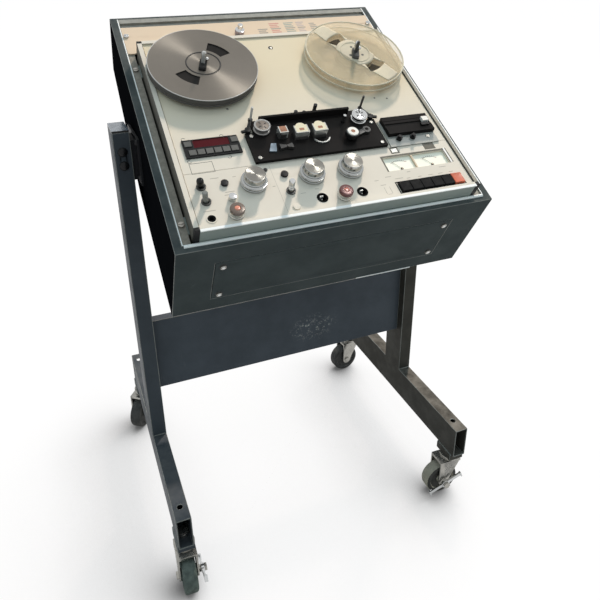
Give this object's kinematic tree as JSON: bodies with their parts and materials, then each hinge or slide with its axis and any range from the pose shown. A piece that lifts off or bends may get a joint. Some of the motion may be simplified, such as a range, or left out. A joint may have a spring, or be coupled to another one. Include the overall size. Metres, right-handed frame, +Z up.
{
  "type": "reel-to-reel tape recorder",
  "caption": "Open-reel tape recorder in a tilted dark cabinet on a wheeled tube stand, with spooling reels, head block, level meters, knobs, keys and swivelling casters.",
  "frame": {"origin": "on the floor under the middle of the object's bounding box", "axes": "+Z up, +Y from the front of the sloped panel to its back, +X to the user's right"},
  "size_m": [0.6187, 0.5436, 0.9414],
  "materials": {
    "left_side_frame": "semi-gloss",
    "right_side_frame": "semi-gloss",
    "cross_panel": "semi-gloss, scuffed",
    "end_caps": "moulded",
    "cabinet_brackets": "black paint",
    "fasteners": "plated",
    "cabinet_shell": "dark textured paint on board",
    "service_panel": "dark textured paint",
    "mounting_frame": "brushed",
    "filler_panel": "cream satin",
    "deck_frame": "grey satin",
    "deck_plate": "satin, warm silver",
    "control_panel": "satin, warm silver",
    "head_block": "black plate",
    "tape_heads": "polished cans",
    "counter_module": "black",
    "push_buttons": "grey",
    "meter_unit": "cream faces",
    "splice_block": "black anodised",
    "sockets": "black",
    "motors": "plain",
    "electronics": "green board",
    "caster_fork_fl": "zinc plated",
    "caster_fork_fr": "zinc plated",
    "caster_fork_rr": "zinc plated",
    "caster_fork_rl": "zinc plated",
    "caster_wheel_fl": "grey-black tyre",
    "caster_wheel_fr": "grey-black tyre",
    "caster_wheel_rr": "grey-black tyre",
    "caster_wheel_rl": "grey-black tyre",
    "brake_pedal_fl": "zinc plated",
    "brake_pedal_fr": "zinc plated",
    "turntable_left": "black",
    "turntable_right": "black",
    "supply_reel": "spun",
    "takeup_reel": "yellowish clear",
    "tape_pack": "wound tape",
    "tension_arm_left": "black",
    "tension_arm_right": "black",
    "guide_roller_left": "polished",
    "guide_roller_right": "polished",
    "capstan": "ground",
    "pinch_arm": "plated",
    "pinch_roller": "rubber with a white cap",
    "level_knob_1": "spun",
    "level_knob_2": "spun",
    "level_knob_3": "spun",
    "lamp_knob_1": "turned, coloured top",
    "lamp_knob_2": "turned, coloured top",
    "toggle_black": "black",
    "toggle_grey": "plated",
    "toggle_chrome": "plated",
    "key_1": "black",
    "key_2": "black",
    "key_3": "black",
    "key_4": "black",
    "key_5": "black",
    "record_key": "orange red",
    "needle_left": "black",
    "needle_right": "black"
  },
  "bodies": {
    "stand": {"left_side_frame": "left_side_frame", "right_side_frame": "right_side_frame", "cross_panel": "cross_panel", "end_caps": "end_caps", "cabinet_brackets": "cabinet_brackets", "fasteners": "fasteners", "cabinet_shell": "cabinet_shell", "service_panel": "service_panel", "mounting_frame": "mounting_frame", "filler_panel": "filler_panel", "deck_frame": "deck_frame", "deck_plate": "deck_plate", "control_panel": "control_panel", "head_block": "head_block", "tape_heads": "tape_heads", "counter_module": "counter_module", "push_buttons": "push_buttons", "meter_unit": "meter_unit", "splice_block": "splice_block", "sockets": "sockets", "motors": "motors", "electronics": "electronics"},
    "caster_fl": {"caster_fork_fl": "caster_fork_fl"},
    "caster_fr": {"caster_fork_fr": "caster_fork_fr"},
    "caster_rr": {"caster_fork_rr": "caster_fork_rr"},
    "caster_rl": {"caster_fork_rl": "caster_fork_rl"},
    "wheel_fl": {"caster_wheel_fl": "caster_wheel_fl"},
    "pedal_fl": {"brake_pedal_fl": "brake_pedal_fl"},
    "wheel_fr": {"caster_wheel_fr": "caster_wheel_fr"},
    "pedal_fr": {"brake_pedal_fr": "brake_pedal_fr"},
    "wheel_rr": {"caster_wheel_rr": "caster_wheel_rr"},
    "wheel_rl": {"caster_wheel_rl": "caster_wheel_rl"},
    "supply_side": {"turntable_left": "turntable_left", "supply_reel": "supply_reel", "tape_pack": "tape_pack"},
    "takeup_side": {"turntable_right": "turntable_right", "takeup_reel": "takeup_reel"},
    "tension_left": {"tension_arm_left": "tension_arm_left"},
    "tension_right": {"tension_arm_right": "tension_arm_right"},
    "guide_left": {"guide_roller_left": "guide_roller_left"},
    "guide_right": {"guide_roller_right": "guide_roller_right"},
    "capstan_shaft": {"capstan": "capstan"},
    "pinch_lever": {"pinch_arm": "pinch_arm"},
    "pinch_wheel": {"pinch_roller": "pinch_roller"},
    "level_1": {"level_knob_1": "level_knob_1"},
    "level_2": {"level_knob_2": "level_knob_2"},
    "level_3": {"level_knob_3": "level_knob_3"},
    "lamp_1": {"lamp_knob_1": "lamp_knob_1"},
    "lamp_2": {"lamp_knob_2": "lamp_knob_2"},
    "lever_black": {"toggle_black": "toggle_black"},
    "lever_grey": {"toggle_grey": "toggle_grey"},
    "lever_chrome": {"toggle_chrome": "toggle_chrome"},
    "key_1_cap": {"key_1": "key_1"},
    "key_2_cap": {"key_2": "key_2"},
    "key_3_cap": {"key_3": "key_3"},
    "key_4_cap": {"key_4": "key_4"},
    "key_5_cap": {"key_5": "key_5"},
    "record_key_cap": {"record_key": "record_key"},
    "meter_left": {"needle_left": "needle_left"},
    "meter_right": {"needle_right": "needle_right"}
  },
  "joints": [
    {"name": "swivel_fl", "type": "hinge", "parent": "stand", "child": "caster_fl", "pos_m": [-0.26603, -0.20846, 0.09], "axis": [0, 0, 1], "continuous": true},
    {"name": "swivel_fr", "type": "hinge", "parent": "stand", "child": "caster_fr", "pos_m": [0.29297, -0.20846, 0.09], "axis": [0, 0, 1], "continuous": true},
    {"name": "swivel_rr", "type": "hinge", "parent": "stand", "child": "caster_rr", "pos_m": [0.29297, 0.24854, 0.09], "axis": [0, 0, 1], "continuous": true},
    {"name": "swivel_rl", "type": "hinge", "parent": "stand", "child": "caster_rl", "pos_m": [-0.26603, 0.24854, 0.09], "axis": [0, 0, 1], "continuous": true},
    {"name": "roll_fl", "type": "hinge", "parent": "caster_fl", "child": "wheel_fl", "pos_m": [-0.26673, -0.22845, 0.035], "axis": [0.9994, -0.0349, 0], "continuous": true},
    {"name": "brake_fl", "type": "hinge", "parent": "caster_fl", "child": "pedal_fl", "pos_m": [-0.26673, -0.22845, 0.035], "axis": [0.9994, -0.0349, 0], "range_deg": [0, 46]},
    {"name": "roll_fr", "type": "hinge", "parent": "caster_fr", "child": "wheel_fr", "pos_m": [0.27298, -0.20777, 0.035], "axis": [-0.0349, -0.9994, 0], "continuous": true},
    {"name": "brake_fr", "type": "hinge", "parent": "caster_fr", "child": "pedal_fr", "pos_m": [0.27298, -0.20777, 0.035], "axis": [-0.0349, -0.9994, 0], "range_deg": [-46, 0]},
    {"name": "roll_rr", "type": "hinge", "parent": "caster_rr", "child": "wheel_rr", "pos_m": [0.27312, 0.2461, 0.035], "axis": [0.1219, -0.9925, 0], "continuous": true},
    {"name": "roll_rl", "type": "hinge", "parent": "caster_rl", "child": "wheel_rl", "pos_m": [-0.27779, 0.23236, 0.035], "axis": [0.809, -0.5878, 0], "continuous": true},
    {"name": "supply_spin", "type": "hinge", "parent": "stand", "child": "supply_side", "pos_m": [-0.12253, -0.00517, 0.87066], "axis": [0, -0.5075, 0.8616], "continuous": true},
    {"name": "takeup_spin", "type": "hinge", "parent": "stand", "child": "takeup_side", "pos_m": [0.14947, -0.00517, 0.87066], "axis": [0, -0.5075, 0.8616], "continuous": true},
    {"name": "tension_swing_left", "type": "hinge", "parent": "stand", "child": "tension_left", "pos_m": [-0.09053, -0.13132, 0.79519], "axis": [0, -0.5075, 0.8616], "range_deg": [-14, 14], "stiffness_Nm_per_rad": 0.1},
    {"name": "tension_swing_right", "type": "hinge", "parent": "stand", "child": "tension_right", "pos_m": [0.11747, -0.13132, 0.79519], "axis": [0, -0.5075, 0.8616], "range_deg": [-14, 14], "stiffness_Nm_per_rad": 0.1},
    {"name": "guide_spin_left", "type": "hinge", "parent": "stand", "child": "guide_left", "pos_m": [-0.06883, -0.13201, 0.79478], "axis": [0, -0.5075, 0.8616], "continuous": true},
    {"name": "guide_spin_right", "type": "hinge", "parent": "stand", "child": "guide_right", "pos_m": [0.09577, -0.13201, 0.79478], "axis": [0, -0.5075, 0.8616], "continuous": true},
    {"name": "capstan_spin", "type": "hinge", "parent": "stand", "child": "capstan_shaft", "pos_m": [0.06784, -0.13107, 0.78895], "axis": [0, -0.5075, 0.8616], "continuous": true},
    {"name": "pinch_swing", "type": "hinge", "parent": "stand", "child": "pinch_lever", "pos_m": [0.09847, -0.15545, 0.78098], "axis": [0, -0.5075, 0.8616], "range_deg": [-38, 0], "stiffness_Nm_per_rad": 0.1},
    {"name": "pinch_spin", "type": "hinge", "parent": "pinch_lever", "child": "pinch_wheel", "pos_m": [0.06747, -0.16661, 0.78009], "axis": [0, -0.5075, 0.8616], "continuous": true},
    {"name": "level_turn_1", "type": "hinge", "parent": "stand", "child": "level_1", "pos_m": [-0.10983, -0.21168, 0.74147], "axis": [0, -0.5075, 0.8616], "range_deg": [-150, 150]},
    {"name": "level_turn_2", "type": "hinge", "parent": "stand", "child": "level_2", "pos_m": [-0.01983, -0.21168, 0.74147], "axis": [0, -0.5075, 0.8616], "range_deg": [-150, 150]},
    {"name": "level_turn_3", "type": "hinge", "parent": "stand", "child": "level_3", "pos_m": [0.04277, -0.21168, 0.74147], "axis": [0, -0.5075, 0.8616], "range_deg": [-150, 150]},
    {"name": "lamp_knob_turn_1", "type": "hinge", "parent": "stand", "child": "lamp_1", "pos_m": [-0.14953, -0.25433, 0.71635], "axis": [0, -0.5075, 0.8616], "range_deg": [-45, 45]},
    {"name": "lamp_knob_turn_2", "type": "hinge", "parent": "stand", "child": "lamp_2", "pos_m": [0.01397, -0.2526, 0.71737], "axis": [0, -0.5075, 0.8616], "range_deg": [-45, 45]},
    {"name": "toggle_flip_black", "type": "hinge", "parent": "stand", "child": "lever_black", "pos_m": [-0.18503, -0.20562, 0.74301], "axis": [0, -0.8616, -0.5075], "range_deg": [-16, 0]},
    {"name": "toggle_flip_grey", "type": "hinge", "parent": "stand", "child": "lever_grey", "pos_m": [-0.18453, -0.22888, 0.72931], "axis": [0, -0.8616, -0.5075], "range_deg": [-20, 0]},
    {"name": "toggle_flip_chrome", "type": "hinge", "parent": "stand", "child": "lever_chrome", "pos_m": [-0.06103, -0.23147, 0.72779], "axis": [0, -0.8616, -0.5075], "range_deg": [-20, 0]},
    {"name": "key_1_press", "type": "slide", "parent": "stand", "child": "key_1_cap", "axis": [0, 0.5075, -0.8616], "range_m": [0, 0.003], "stiffness_N_per_m": 300},
    {"name": "key_2_press", "type": "slide", "parent": "stand", "child": "key_2_cap", "axis": [0, 0.5075, -0.8616], "range_m": [0, 0.003], "stiffness_N_per_m": 300},
    {"name": "key_3_press", "type": "slide", "parent": "stand", "child": "key_3_cap", "axis": [0, 0.5075, -0.8616], "range_m": [0, 0.003], "stiffness_N_per_m": 300},
    {"name": "key_4_press", "type": "slide", "parent": "stand", "child": "key_4_cap", "axis": [0, 0.5075, -0.8616], "range_m": [0, 0.003], "stiffness_N_per_m": 300},
    {"name": "key_5_press", "type": "slide", "parent": "stand", "child": "key_5_cap", "axis": [0, 0.5075, -0.8616], "range_m": [0, 0.003], "stiffness_N_per_m": 300},
    {"name": "record_key_press", "type": "slide", "parent": "stand", "child": "record_key_cap", "axis": [0, 0.5075, -0.8616], "range_m": [0, 0.003], "stiffness_N_per_m": 300},
    {"name": "needle_swing_left", "type": "hinge", "parent": "stand", "child": "meter_left", "pos_m": [0.12897, -0.21938, 0.73288], "axis": [0, -0.5075, 0.8616], "range_deg": [-70, 0], "stiffness_Nm_per_rad": 0.001},
    {"name": "needle_swing_right", "type": "hinge", "parent": "stand", "child": "meter_right", "pos_m": [0.18397, -0.21938, 0.73288], "axis": [0, -0.5075, 0.8616], "range_deg": [-70, 0], "stiffness_Nm_per_rad": 0.001}
  ]
}
